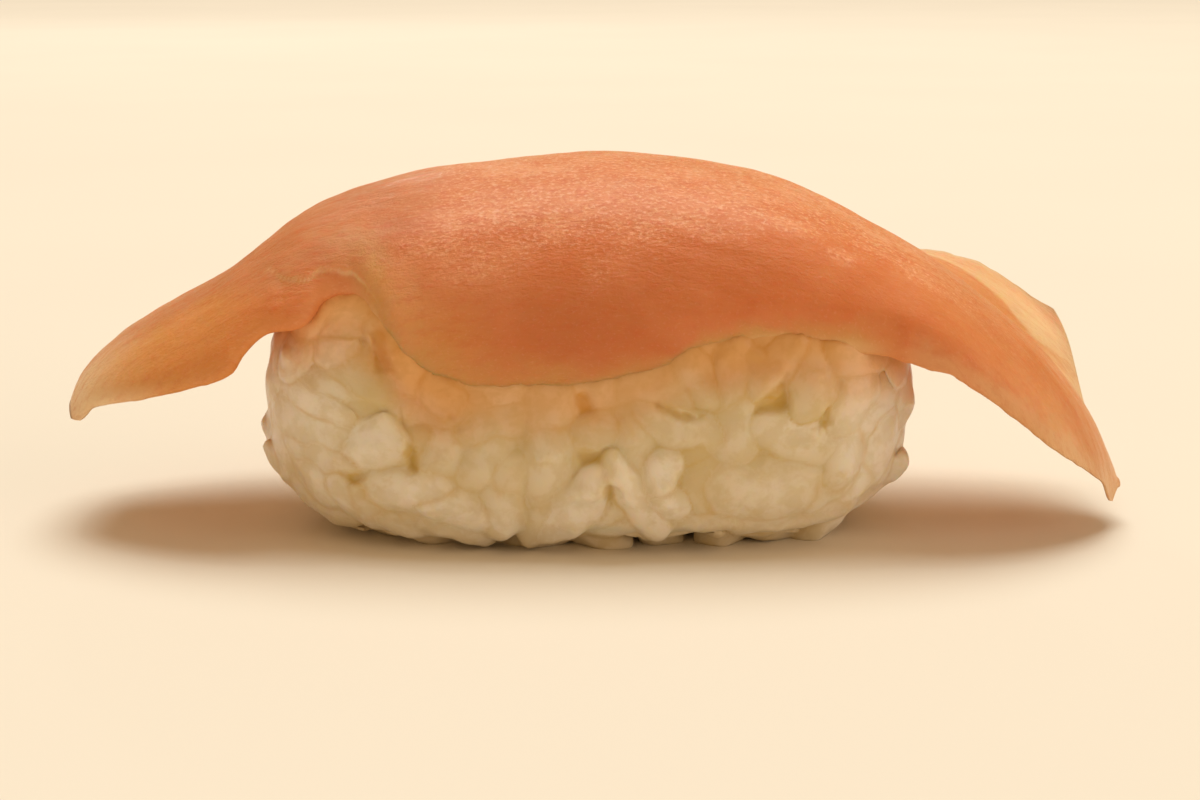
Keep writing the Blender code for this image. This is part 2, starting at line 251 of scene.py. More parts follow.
# Amber gaps between the grains in front, set in a little and given painted shade, as the (x, z) of their
# corners, clockwise.
AMBER_GAPS = (
    ((11.2, 10.9), (11.7, 11.8), (13.2, 13.2), (13.4, 10.8)),
    ((4.3, 11.7), (5.4, 11.4), (6.4, 10.4), (4.9, 10.7)),
    ((6.5, 10.7), (7.4, 10.6), (7.2, 9.8)),
    ((-1.1, 8.0), (0.6, 8.1), (0.6, 7.3), (-0.9, 7.2)),
    ((15.4, 9.5), (16.3, 10.7), (16.6, 9.9), (15.8, 9.0)),
    ((-13.9, 11.7), (-13.3, 11.5), (-13.1, 9.4), (-13.6, 9.8)),
    ((-13.3, 9.0), (-12.8, 8.4), (-12.4, 6.5), (-13.0, 6.8)),
    ((-17.7, 5.8), (-16.5, 6.0), (-17.1, 5.1)),
    ((0.8, 5.6), (1.3, 6.1), (1.5, 4.1), (1.0, 3.8)),
    ((-10.4, 9.8), (-10.0, 10.6), (-9.5, 9.8)),
    ((-1.5, 12.3), (-0.3, 12.3), (-0.2, 11.0), (-0.9, 10.8)),
    ((-15.8, 16.5), (-14.4, 16.6), (-14.0, 13.9), (-15.2, 13.6)),
)
AMBER_DEPTH = 0.22
GRAIN_LENGTH = 7.0
GRAIN_WIDTH = 3.4
GRAIN_HEIGHT_SHARE = 0.86  # of its width
GRAIN_SIZE_SPREAD = 0.14
GRAIN_TILT = math.radians(13)
GRAIN_BLUNTNESS = 3.0
GRAIN_BEND_STILL = 0.4  # the squared share of the way to its ends where a bend leaves it in place
LAID_TILT = 0.06  # of the grains in front
GRAIN_UNEVENNESS = 0.3
UNEVENNESS_SPAN = 1.3
FRONT_GRAIN_GROWTH = 1.2  # so that neighbours press together
GRAIN_ROUNDS = 4  # of the ball that a grain starts from
GRAIN_SPACING = 3.1
UNDER_GRAIN_SPACING = 2.7
UNDER_GRAINS_FROM = 3.0  # millimetres above the floor
COVERED_BY_SLICE = 2.5  # how far above the slice's edge no grain is needed
COVERED_REACH = 21.0  # of that part, to each side
LOWEST_SPOT = -0.5
GRAIN_TRIES = 12000
GRAIN_DIRECTIONS = np.array((1.6, 1.0, 0.9))  # stretched along the block, so that its sides get theirs
CORE_INSET = 1.3
CORE_FOOT_INSET = 5.0
CORE_LUMPS = 0.3
FOOT_INSET = 0.4
FUSING_CELL = 0.2
RICE_TRIANGLES = 192000
WEB_ROUNDS = 1  # of smoothing that fills the creases between grains
PRESSED_FROM = -1.0  # the depth below which the hollows between grains are made shallower
# Where the rice stands out to the slice's front edge, as (x, how far).
RAISED = ((-23.0, 0.3), (-20.0, 0.8), (-15.0, 0.6), (-11.0, 0.1), (6.0, 0.0), (10.0, 0.2),
          (14.0, 0.6), (18.0, 1.0), (21.0, 0.9), (24.0, 0.3))
RAISED_FROM = (8.5, 12.0)
LOOSE_FOOT = (0.6, 3.2)  # from the floor up, where the grains stand apart
PRESSED_SHARE = 0.45
PRESSED_TO = 4.0  # the depth of the deepest hollow that counts
DEEPEST_HOLLOW = 0.7
SLICE_GAP = 0.02
FREE_EDGE = 0.965  # of the way to the slice's front edge, past which grains may overlap it
FREE_EDGE_SOFTNESS = 0.14
TUCKED_SIDEWAYS = 0.4  # how far beside the slice's underside a point still counts as under it
FAR_OUTSIDE = -9.0
SEAM_WIDTH = 0.3
GRAIN_PATTERN_SHIFT = np.array((17.0, 7.0, 0.0))  # from one grain's clouds to the next one's
# Where painted light makes the rice whiter: its left end, its right end and its foot.
LEFT_LIGHT_SPAN = (-15.0, -20.0)
RIGHT_LIGHT_SPAN = (16.0, 19.5)
FOOT_LIGHT_SPAN = (5.0, 1.5)

CAMERA_LENS = 60
CAMERA_SENSOR = 36
CAMERA_TARGET = (0.4, 0.0, 8.9)
CAMERA_ELEVATION = math.radians(13)
CAMERA_DISTANCE = 152
# Each light's place and size in metres, and its colour.
LIGHTS = {
    "key": ((0.1, 0.75, 2.9), 2.4, (0.96, 1.0, 0.97)),
    "lamp": ((-0.2, 0.9, 0.36), 0.08, (1.0, 0.97, 0.92)),
    "glint": ((-0.1, 0.2, 1.4), 0.06, (1.0, 0.98, 0.94)),
    "fill": ((0.95, -0.3, 0.25), 0.8, (1.0, 0.93, 0.82)),
}
LIGHT_TARGET = (0.0, 0.0, 0.01)  # in metres
ROOM_COLOUR = (1.0, 0.70, 0.40, 1.0)
FLOOR_REACH = 2000


# Curves, noise and meshes

def slopes(points):
    """The slope at each point of the curve below: flat at a peak or a dip."""
    rises = [(z1 - z0) / (x1 - x0) for (x0, z0), (x1, z1) in itertools.pairwise(points)]
    inner = [0.0 if a * b <= 0 else 2 * a * b / (a + b) for a, b in itertools.pairwise(rises)]
    return np.array([rises[0], *inner, rises[-1]])


def through(points, x):
    """A smooth curve through (x, z) points that doesn't overshoot between them."""
    xs, zs = np.array(points).T
    x = np.clip(x, xs[0], xs[-1])
    i = np.clip(np.searchsorted(xs, x, side="right") - 1, 0, len(xs) - 2)
    span = xs[i + 1] - xs[i]
    t = (x - xs[i]) / span
    slope = slopes(points)
    start = (1 + 2 * t) * (1 - t) ** 2 * zs[i] + t * (1 - t) ** 2 * span * slope[i]
    end = t**2 * (3 - 2 * t) * zs[i + 1] - t**2 * (1 - t) * span * slope[i + 1]
    return start + end


def smooth(low, high, x):
    """0 at low and before it, 1 at high and past it, and smooth in between."""
    t = np.clip((x - low) / (high - low), 0.0, 1.0)
    return t * t * (3 - 2 * t)


def band(start, full, ending, past, x):
    """1 between full and ending, 0 before start and past the last."""
    return smooth(start, full, x) * smooth(past, ending, x)


def mound(*offsets):
    """1 in the middle and less around it, for distances as shares of the mound's widths."""
    return np.exp(-sum(offset**2 for offset in offsets))


def lattice(cell, seed):
    """A number from -1 to 1 for each whole-numbered point of space."""
    x, y, z = np.moveaxis(cell, -1, 0)
    mixed = (x * 374761393 + y * 668265263 + z * 974711 + seed * 1446653) & 0xFFFFFFFF
    mixed = ((mixed ^ (mixed >> 13)) * 1274126177) & 0xFFFFFFFF
    return ((mixed ^ (mixed >> 16)) & 0xFFFF) / 32767.5 - 1.0


def noise(points, seed):
    """Smooth noise from -1 to 1 with one bump for each unit of space."""
    cell = np.floor(points).astype(np.int64)
    part = points - cell
    part = part * part * (3 - 2 * part)
    total = np.zeros(points.shape[:-1])
    for corner in itertools.product((0, 1), repeat=3):
        weight = np.prod(np.where(corner, part, 1 - part), axis=-1)
        total += weight * lattice(cell + corner, seed)
    return total


def layered_noise(points, seed, layers=3):
    """Noise with finer and weaker noises on it."""
    total = sum(noise(points * 2.0**k, seed + k) * 0.5**k for k in range(layers))
    return total / sum(0.5**k for k in range(layers))


def noise_along(x, seed):
    """Noise along a line, for numbers on it."""
    return noise(np.stack([x, np.full_like(x, 0.5), np.full_like(x, 0.5)], axis=-1), seed)


def unit(vector):
    return vector / np.linalg.norm(vector, axis=-1, keepdims=True)


def mesh_object(name, points_mm, faces):
    mesh = bpy.data.meshes.new(name)
    mesh.from_pydata((np.asarray(points_mm) * MM).tolist(), [], faces)
    mesh.shade_smooth()
    obj = bpy.data.objects.new(name, mesh)
    bpy.context.scene.collection.objects.link(obj)
    return obj


def points_of(obj):
    """The mesh's vertices in millimetres."""
    flat = np.empty(len(obj.data.vertices) * 3)
    obj.data.vertices.foreach_get("co", flat)
    return flat.reshape(-1, 3) / MM


def move_points(obj, points_mm):
    obj.data.vertices.foreach_set("co", (points_mm * MM).ravel())
    obj.data.update()


def apply_modifiers(obj):
    evaluated = obj.evaluated_get(bpy.context.evaluated_depsgraph_get())
    mesh = bpy.data.meshes.new_from_object(evaluated)
    obj.modifiers.clear()
    obj.data = mesh


def give_numbers(obj, name, values):
    """Stores one number, or one vector, for each vertex."""
    values = np.asarray(values, np.float32)
    kind, field = ("FLOAT", "value") if values.ndim == 1 else ("FLOAT_VECTOR", "vector")
    obj.data.attributes.new(name, kind, "POINT").data.foreach_set(field, values.ravel())


# Materials

class Shading:
    """A material that is being put together, with short ways to add its nodes."""

    def __init__(self, name):
        self.material = bpy.data.materials.new(name)
        self.material.use_nodes = True
        self.tree = self.material.node_tree
        self.shader = self.tree.nodes["Principled BSDF"]

    def put(self, node, inputs):
        """Gives the node's inputs their values, or links them to other nodes' outputs."""
        for key, value in inputs.items():
            if isinstance(value, bpy.types.NodeSocket):
                self.tree.links.new(value, node.inputs[key])
            else:
                node.inputs[key].default_value = value

    def finish(self, **inputs):
        """Gives the shader its inputs, with _ for each space in their names."""
        self.put(self.shader, {name.replace("_", " "): value for name, value in inputs.items()})

    def add(self, kind, inputs, **settings):
        node = self.tree.nodes.new(kind)
        for name, value in settings.items():
            setattr(node, name, value)
        self.put(node, inputs)
        return node.outputs

    def number(self, name):
        """A number that the mesh stores for each vertex."""
        return self.add("ShaderNodeAttribute", {}, attribute_name=name)["Fac"]

    def vector(self, name):
        return self.add("ShaderNodeAttribute", {}, attribute_name=name)["Vector"]

    def place(self):
        """The place on the object, in millimetres."""
        metres = self.add("ShaderNodeTexCoord", {})["Object"]
        return self.stretched(metres, (1 / MM, 1 / MM, 1 / MM))

    def stretched(self, vector, scale):
        return self.add("ShaderNodeVectorMath", {0: vector, 1: scale}, operation="MULTIPLY")["Vector"]

    def noise(self, vector, scale, detail=2.0, roughness=0.5):
        inputs = {"Vector": vector, "Scale": scale, "Detail": detail, "Roughness": roughness}
        return self.add("ShaderNodeTexNoise", inputs)["Fac"]

    def between(self, value, low, high, start=0.0, end=1.0):
        """start where the value is low, end where it is high, and smooth in between."""
        inputs = {"Value": value, "From Min": low, "From Max": high, "To Min": start, "To Max": end}
        return self.add("ShaderNodeMapRange", inputs, interpolation_type="SMOOTHSTEP")["Result"]

    def times(self, a, b):
        return self.add("ShaderNodeMath", {0: a, 1: b}, operation="MULTIPLY")["Value"]

    def mix(self, factor, colour, other, blend="MIX"):
        inputs = {0: factor, 6: opaque(colour), 7: opaque(other)}
        return self.add("ShaderNodeMix", inputs, data_type="RGBA", blend_type=blend)[2]

    def layered(self, colour, *layers):
        """The colour with others laid over it in turn, each by its own amount."""
        for amount, tint in layers:
            colour = self.mix(amount, colour, tint)
        return colour

    def bump(self, height, distance_mm, strength=1.0, normal=None):
        inputs = {"Height": height, "Distance": distance_mm * MM, "Strength": strength}
        if normal:
            inputs["Normal"] = normal
        return self.add("ShaderNodeBump", inputs)["Normal"]


def opaque(colour):
    """The colour with full alpha, unless it comes out of a node."""
    return colour if isinstance(colour, bpy.types.NodeSocket) else (*colour, 1.0)


def colour_property(name, description, default):
    return FloatVectorProperty(name=name, description=description, default=default, subtype="COLOR", min=0.0,
                               max=1.0)


# The slice of fish

def slice_x(u, v):
    """The x of each point, between the bowed left end and the slanted right one."""
    left = LEFT_END + LEFT_END_BOW * v * v + LEFT_END_STRAYS * noise_along(END_STRAYS_SCALE * v, 61)
    corner = CORNER_ROUNDING * np.clip((v - CORNER_FROM) / (1 - CORNER_FROM), 0.0, 1.0) ** 4
    right = RIGHT_END - RIGHT_END_SLANT * smooth(-0.4, 1.0, v) - corner
    right = right + RIGHT_END_STRAYS * noise_along(END_STRAYS_SCALE * v, 62)
    return left + (right - left) * (u + 1) / 2


def crest_thickness(x, thickness):
    """The slice's thickness along its crest, less towards its ends."""
    thick = thickness - (thickness - END_THICKNESS) * smooth(*THINNING_SPAN, np.abs(x))
    return thick - TIP_THINNING * smooth(*TIP_THINNING_SPAN, np.abs(x))


def thinned(x, v, turned, thickness):
    """The slice's thickness where its section has turned by that share of a full drape."""
    edge_share = np.where(v < 0, through(FRONT_EDGE_SHARE, x), through(BACK_EDGE_SHARE, x))
    return crest_thickness(x, thickness) * (1 - (1 - edge_share) * smooth(EDGE_THINNING_FROM, 1.0, turned))


def raggedness(x):
    """How far a cut edge strays at x, in millimetres of the section's length."""
    rougher = 0.6 + 0.8 * smooth(12.0, 26.0, x)
    jagged = 0.1 + 0.3 * band(*JAGGED_SPAN, x)
    return rougher * (0.3 * noise_along(x * 0.35, 51) + 0.22 * noise_along(x * 0.95, 52)
                      + 0.2 * noise_along(x * 2.2, 53)) + jagged * noise_along(x * 1.5, 54)


def middle_sheet(u, v, thickness):
    """Points of the sheet halfway through the slice, for u along and v across, from -1 to 1.

    Also how far the section has turned down there, as a share of a full drape.
    """
    x = slice_x(u, v)
    front = v < 0
    crest = through(CREST_LINE, x) - crest_thickness(x, thickness) / 2
    hang = np.where(front, through(FRONT_HANG, x), through(BACK_EDGE, x))
    spread = np.where(front, through(FRONT_SPREAD, x), through(BACK_SPREAD, x))
    kept = np.clip((crest - through(FRONT_EDGE, x)) / (crest - through(FRONT_HANG, x)), 0.05, 1.0)
    last_turn = np.where(front, np.arccos(1 - kept * (1 - math.cos(EDGE_TURN))), EDGE_TURN)
    ragged = raggedness(np.where(front, x, x + BACK_NOISE_SHIFT))
    last_turn = last_turn + ragged * EDGE_TURN / SECTION_LENGTH
    turn = np.abs(v) * last_turn
    fall = (1 - np.cos(turn)) / (1 - math.cos(EDGE_TURN))
    out = np.sin(turn) / math.sin(EDGE_TURN)
    out += smooth(-3.0, 3.0, hang - crest) * (turn / EDGE_TURN - out)
    dip = BACK_DIP * (smooth(*BACK_DIP_SPAN, x) - smooth(*BACK_DIP_END, x))
    dip = dip * np.sin(np.pi * np.clip(v / BACK_DIP_WIDTH, 0, 1)) ** 2
    sheet = np.stack([x, np.sign(v) * spread * out, crest - (crest - hang) * fall - dip], axis=-1)
    return sheet, turn / EDGE_TURN


def upward(sheet):
    """The sheet's upward direction at each point of its grid."""
    return unit(np.cross(np.gradient(sheet, axis=0), np.gradient(sheet, axis=1)))


def slice_grid():
    """u along and v across the slice, from -1 to 1, with closer points beside its edges."""
    u = np.linspace(-1, 1, SLICE_CELLS[0] + 1)
    v = np.linspace(-1, 1, SLICE_CELLS[1] + 1)
    v = (1 + EDGE_CROWDING) * v - EDGE_CROWDING * v**3
    return np.meshgrid(u, v, indexing="ij")


def arc_lengths(sheet, axis):
    """How far each point lies along its grid line, from the line's middle."""
    steps = np.linalg.norm(np.diff(sheet, axis=axis), axis=-1)
    start = np.zeros_like(np.take(steps, [0], axis=axis))
    length = np.concatenate([start, np.cumsum(steps, axis=axis)], axis=axis)
    return length - np.take(length, [length.shape[axis] // 2], axis=axis)


def grid_faces(columns, rows):
    """The quads between a grid's points."""
    index = np.arange(columns * rows).reshape(columns, rows)
    corners = (index[:-1, :-1], index[1:, :-1], index[1:, 1:], index[:-1, 1:])
    return np.stack(corners, axis=-1).reshape(-1, 4)


def shell_faces(columns, rows):
    """Quads of a top grid, a bottom grid below it and the rim between them."""
    top = grid_faces(columns, rows)
    bottom = top[:, ::-1] + columns * rows
    index = np.arange(columns * rows).reshape(columns, rows)
    loop = np.concatenate([index[:-1, 0], index[-1, :-1], index[:0:-1, -1], index[0, :0:-1]])
    after = np.roll(loop, -1)
    rim = np.stack([after, loop, loop + columns * rows, after + columns * rows], axis=-1)
    return np.concatenate([top, bottom, rim]).tolist()


def past_layer_edge(sheet, place):
    """How far each point of the slice lies in front of its top layer's ragged edge."""
    x = sheet[..., 0]
    ragged = 0.35 * noise_along(x * 1.4, 57) + 0.15 * noise_along(x * 3.5, 58)
    return through(LAYER_EDGE, x) + ragged - (place[..., 1] - place[:, :1, 1])


def slice_relief(place):
    """How far the upper surface stands out: long fibres, broad muscle waves and small lumps."""
    along, across, flat = np.moveaxis(place, -1, 0)
    slanted = across + FIBRE_SLANT * along
    fibres = layered_noise(np.stack([along * 0.14, slanted * 1.3, flat], axis=-1), 5, 2)
    waves = noise(np.stack([along * 0.07, slanted * 0.3, flat], axis=-1), 21)
    lumps = layered_noise(np.stack([along * 0.4, across * 0.6, flat], axis=-1), 33, 3)
    return FIBRE_RELIEF * fibres + WAVE_RELIEF * waves + LUMP_RELIEF * lumps


class SliceShape(NamedTuple):
    v: np.ndarray
    sheet: np.ndarray
    place: np.ndarray  # millimetres along and across the sheet, and 0
    up: np.ndarray
    top: np.ndarray
    bottom: np.ndarray


def slice_shape(settings):
    """The slice's upper and lower surface, as two grids of points."""
    u, v = slice_grid()
    thickness = settings.thickness / MM
    sheet, turned = middle_sheet(u, v, thickness)
    place = np.stack([arc_lengths(sheet, 0), arc_lengths(sheet, 1), np.zeros_like(u)], axis=-1)
    outer = thinned(sheet[..., 0], v, turned, thickness) / 2
    thick = thinned(sheet[..., 0], v, np.abs(v), thickness)
    rounding = np.sqrt((1 - np.abs(v) ** EDGE_ROUNDING) * (1 - np.abs(u) ** END_ROUNDING))
    rounded = np.maximum(LEAST_THICKNESS, thick * rounding)
    up = upward(sheet)
    inner = (1 - np.abs(v) ** RELIEF_EDGE_POWER) * (1 - np.abs(u) ** RELIEF_END_POWER)
    relief = slice_relief(place) * settings.relief * inner
    past_layer = past_layer_edge(sheet, place)
    sunk = through(FRONT_SINKING, sheet[..., 0]) * smooth(SINKING_FROM, 1.0, -v)
    sunk += LAYER_STEP * smooth(-0.1, 0.1, past_layer) * band(*LAYER_SPAN, sheet[..., 0])
    top = sheet + up * (outer - sunk - (thick - rounded) / 2 + relief)[..., None]
    bottom = sheet + up * (outer - sunk - (thick + rounded) / 2)[..., None]
    return SliceShape(v, sheet, place, up, top, bottom)


class Spots(NamedTuple):
    """Where the points of the slice lie, for its tints."""

    x: np.ndarray
    v: np.ndarray
    to_front: np.ndarray
    to_back: np.ndarray
    down: np.ndarray  # from the crest towards the front
    patches: np.ndarray
    fine_patches: np.ndarray


def spots_of(shape):
    """Where the shape's points lie, with two noises to vary the tints by."""
    across = shape.place[..., 1]
    return Spots(
        x=shape.sheet[..., 0],
        v=shape.v,
        to_front=across - across[:, :1],
        to_back=across[:, -1:] - across,
        down=-across,
        patches=layered_noise(shape.place * 0.16, 71, 2),
        fine_patches=layered_noise(shape.place * (0.3, 0.7, 1.0), 75, 3),
    )


def tips(at):
    """The pale end of the left tail, and of the right one: painted glow of light through the thin flesh."""
    stray = at.x + 2 * at.patches
    left = smooth(*LEFT_TIP_SPAN, stray) * (0.35 + 0.5 * smooth(-0.2, -0.5, at.v))
    right = 0.5 * smooth(*RIGHT_TIP_SPAN, stray) + 0.4 * smooth(*RIGHT_POINT_SPAN, at.x)
    return left, right


def shaded_ridges(at):
    """The darker orange along the crest, towards the left and towards the right: painted shade."""
    reach = 5.5 + 3.2 * smooth(-27.0, -21.0, at.x)
    ridge = smooth(reach + 1.6, reach - 1.6, at.down + at.patches)
    ridge = ridge * smooth(-14.0, -4.0, at.down + 2 * at.patches)
    left = ridge * smooth(*LEFT_RIDGE_SPAN, at.x + 5 * at.patches + 2 * at.fine_patches)
    right = ridge * smooth(*RIGHT_RIDGE_SPAN, at.x) * smooth(-2.0, 0.5, at.down)
    return left, right


def flap_and_fold(at):
    """The flap that stands up behind the right tail, and the line along which it folds. Its paler, yellower
    colour is painted light shining through it.
    """
    past_fold = through(FLAP_FOLD, at.x) + 0.3 * at.fine_patches - at.to_back
    behind = at.v > 0
    flap = smooth(*FLAP_SPAN, at.x) * smooth(-0.35, 0.4, past_fold) * behind
    fold = smooth(*FOLD_SPAN, at.x) * smooth(0.45, 0.15, np.abs(past_fold + 0.3)) * behind
    return flap, fold


def rim_paleness(at):
    """How pale the thin rims are: the back one, and the front ones of both tails, as painted glow of light
    through the thin flesh.
    """
    back = smooth(0.9, 0.1, at.to_back)
    left = smooth(*LEFT_RIM_SPAN, at.x) * smooth(0.9, 0.1, at.to_front)
    right = smooth(*RIGHT_RIM_SPAN, at.x) * smooth(1.8, 0.1, at.to_front + at.fine_patches)
    return 0.35 * np.maximum(back, left) + 0.25 * right


def notch_paleness(at, past_layer):
    """How pale the thin flesh over the notch is, most of all at its top layer's edge: painted light over the
    notch's shade, and a painted line of glints along the layer's edge.
    """
    reach = 2.4 + 4.8 * smooth(-18.5, -14.5, at.x)
    over = smooth(-21.5, -16.5, at.x + at.patches) * smooth(-9.5, -15.0, at.x + 2 * at.patches)
    over = over * smooth(reach + 2.4, reach - 2.4, at.to_front + 2.5 * at.fine_patches)
    lip = band(*NOTCH_LIP_SPAN, at.x) * smooth(1.0, 0.5, at.to_front + 0.4 * at.fine_patches)
    shoulder = mound((at.x + 20.5) / 3.2, (at.to_front - 3.6) / 1.5)
    layer = mound(past_layer / LAYER_EDGE_WIDTH) * band(*LAYER_SPAN, at.x + 2 * at.fine_patches)
    return 0.27 * over * (1 - 0.5 * lip) + 0.15 * shoulder + 0.5 * layer


def slice_tints(shape):
    """Each of the flesh's tints, from 0 to 1, at each point of the slice."""
    at = spots_of(shape)
    tails = smooth(*TAILS_SPAN, np.abs(at.x + 3 * at.patches))
    left_tail = smooth(*LEFT_TAIL_SPAN, at.x + 4 * at.patches)
    right_tail = smooth(*RIGHT_TAIL_SPAN, at.x + 3 * at.patches)
    top = (1 - smooth(-0.42, -0.66, at.v + 0.12 * at.fine_patches)) * (1 - tails)
    upturned = smooth(0.3, 0.7, shape.up[..., 2])
    left_tip, right_tip = tips(at)
    left_shaded_ridge, right_shaded_ridge = shaded_ridges(at)
    flap, fold = flap_and_fold(at)
    resting = band(*RESTING_SPAN, at.x)
    reach = 4.2 - 2.4 * smooth(0.0, 6.0, at.x)
    fading = resting * smooth(reach, 0.2, at.to_front + 1.2 * at.fine_patches)
    clearing = smooth(-17.0, -14.5, at.x) * smooth(-6.0, -11.0, at.x + 2 * at.patches)
    clearing = clearing * smooth(7.5, 3.0, at.to_front)
    flank = mound((at.x + 9.5 + 2 * at.patches) / 4.0, (at.v + 0.62) / 0.12)
    # Painted shade low on the front, in the middle.
    front_shade = smooth(-0.5, -0.7, at.v) * mound((at.x + 1.0 + 3 * at.patches) / 11.0)
    # Painted light: how much lighter and pinker the top is made where light from above falls.
    top_light = 0.22 + 0.25 * smooth(0.1, 0.5, np.abs(at.v)) + 1.2 * at.fine_patches
    thin_parts = rim_paleness(at) + notch_paleness(at, past_layer_edge(shape.sheet, shape.place))
    tints = {
        "streaked": 0.45 + 0.55 * top + 0.5 * left_shaded_ridge - 0.2 * flap - 0.25 * left_tip,
        # Where the pale flecks and painted glints go: the top, and the tails where they face up to the light.
        "flecked": (top + 0.15 * tails * upturned) * (1 - 0.9 * left_shaded_ridge),
        # Painted light on the top of the slice.
        "pink": top * (1 - 0.8 * left_shaded_ridge) * top_light,
        # The flap's share of this is painted light shining through it.
        "yellow": 0.75 * left_tail + 0.45 * right_tail + flap + 0.85 * clearing,
        # Painted shade: darker orange low on the front and along the crest.
        "deep": 0.6 * front_shade * (1 - fading) + 0.92 * left_shaded_ridge + 0.45 * right_shaded_ridge,
        "fading": fading,
        # Mostly painted light: the tips, the flap, the thin rims and the flesh over the notch are made paler
        # where light shines through them or where they lie in shade.
        "pale": (left_tip + right_tip * (1 - 0.5 * right_shaded_ridge) + 0.64 * flap + fold
                 + 0.2 * right_tail * (1 - right_shaded_ridge) + 0.12 * flank + thin_parts),
        "thin": smooth(1.2, 0.3, np.minimum(at.to_front, at.to_back)) + left_tip + right_tip,
        # Painted light: the edge that rests on the rice is made lighter where it lies in shade.
        "lip": resting * smooth(0.8, 0.15, at.to_front),
    }
    return {name: np.clip(values, 0, 1) for name, values in tints.items()}


def fish_material(settings):
    shading = Shading("fish_flesh")
    place = shading.vector("sheet_place")
    fibre_place = shading.stretched(place, (0.7, 2.2, 1.0))
    fibres = shading.noise(fibre_place, scale=0.9, detail=6.0, roughness=0.68)
    fine = shading.noise(fibre_place, scale=3.2, detail=3.0, roughness=0.6)
    specks = shading.noise(shading.stretched(place, (1.3, 3.0, 1.0)), scale=1.5, detail=4.0, roughness=0.7)
    glints = shading.noise(shading.stretched(place, (1.0, 1.6, 1.0)), scale=3.6, detail=3.0, roughness=0.6)
    patches = shading.noise(place, scale=0.18, detail=3.0)
    flecked = shading.number("flecked")
    off_top = shading.between(flecked, 0.0, 1.0, start=1.0, end=0.4)
    on_top = shading.between(flecked, 0.0, 1.0, start=0.15)
    streaks = shading.times(shading.between(fibres, 0.45, 0.7, end=0.65), shading.number("streaked"))
    colour = shading.layered(
        settings.flesh,
        # Painted light: the top made lighter and pinker.
        (shading.number("pink"), settings.pink_and_lit_flesh),
        (shading.number("yellow"), settings.tail),
        # Painted shade.
        (shading.number("deep"), settings.shaded_flesh),
        # Mostly painted light.
        (shading.number("pale"), settings.lit_thin_edge),
        (streaks, settings.vein),
        (shading.times(shading.between(patches, 0.45, 0.7, end=0.28), off_top), settings.pink_and_lit_flesh),
        # Pale flecks, partly the flesh's own and partly painted glints.
        (shading.times(shading.between(specks, 0.5, 0.65, end=0.78), flecked), settings.fleck_and_glint),
        (shading.number("fading"), settings.resting_edge),
        # Painted light on the shaded edge that rests on the rice.
        (shading.times(shading.number("lip"), 0.4), settings.lit_thin_edge),
        # Painted glints: small bright spots on top.
        (shading.times(shading.between(glints, 0.57, 0.66, end=0.8), on_top), settings.fleck_and_glint),
        (shading.times(shading.between(glints, 0.47, 0.34, end=0.6), flecked), settings.vein),
    )
    normal = shading.bump(fibres, 0.16, 0.8)
    for height, distance in ((specks, 0.1), (fine, 0.04), (glints, 0.05)):
        normal = shading.bump(height, distance, 0.8, normal)
    shading.finish(
        Base_Color=colour,
        Roughness=shading.between(fibres, 0.3, 0.7, start=0.33, end=0.52),
        Subsurface_Weight=shading.between(shading.number("thin"), 0.0, 1.0, start=1.0, end=0.0),
        Subsurface_Radius=(1.0, 0.36, 0.16),
        Subsurface_Scale=0.6 * MM,
        Specular_IOR_Level=0.35,
        Coat_Weight=0.06,
        Coat_Roughness=0.16,
        Normal=normal,
    )
    return shading.material


def build_slice(settings):
    shape = slice_shape(settings)
    points = np.concatenate([shape.top.reshape(-1, 3), shape.bottom.reshape(-1, 3)])
    obj = mesh_object("draped_slice", points, shell_faces(*shape.v.shape))
    give_numbers(obj, "sheet_place", np.tile(shape.place.reshape(-1, 3), (2, 1)))
    for name, values in slice_tints(shape).items():
        give_numbers(obj, name, np.tile(values.ravel(), 2))
    obj.data.materials.append(fish_material(settings))
    return obj


class SliceSettings(bpy.types.PropertyGroup):
    thickness: FloatProperty(
        name="Thickness", description="Of the slice at its crest", default=6.4 * MM, min=3.5 * MM, max=9 * MM,
        unit="LENGTH")
    relief: FloatProperty(
        name="Relief", description="Strength of the fibres and waves on top", default=1.0, min=0.0, max=2.0)
    flesh: colour_property("Flesh", "The deeper orange of the flesh", (0.76, 0.235, 0.064))
    # Used for the flesh's own pinker patches and for the painted light on the top.
    pink_and_lit_flesh: colour_property("Pink flesh", "The lighter, pinker patches", (0.86, 0.35, 0.15))
    # Also laid on the flap behind the right tail, as painted light shining through it.
    tail: colour_property("Tail", "The yellower, clearer flesh of the tails", (0.78, 0.36, 0.088))
    # Painted shade, low in front and along the crest.
    shaded_flesh: colour_property("Deep flesh", "Low in front and along the crest", (0.62, 0.2, 0.06))
    resting_edge: colour_property("Resting edge", "The clear edge that lies on the rice", (0.70, 0.36, 0.115))
    vein: colour_property("Vein", "The redder lines along the flesh", (0.68, 0.15, 0.04))
    # Partly the flesh's own pale flecks, partly painted glints.
    fleck_and_glint: colour_property("Fleck", "The fine pale flecks on top", (0.97, 0.54, 0.32))
    # Painted light: the glow through thin flesh, and light laid on shaded flesh.
    lit_thin_edge: colour_property("Thin edge", "Where the slice is thin or lies on the rice", (0.93, 0.64, 0.35))


class SUSHI_OT_add_slice(bpy.types.Operator):
    """Adds the slice of fish that lies over the rice"""

    bl_idname = "sushi.add_slice"
    bl_label = "Slice of fish"

    def execute(self, context):
        obj = build_slice(context.scene.sushi_slice)
        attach(obj, "root")
        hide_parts("fish_slice")
        return {"FINISHED"}


# The rice

class Grain(NamedTuple):
    middle: np.ndarray
    along: np.ndarray
    out: np.ndarray
    length: float
    width: float
    whiteness: float
    taper: float
    bend: float


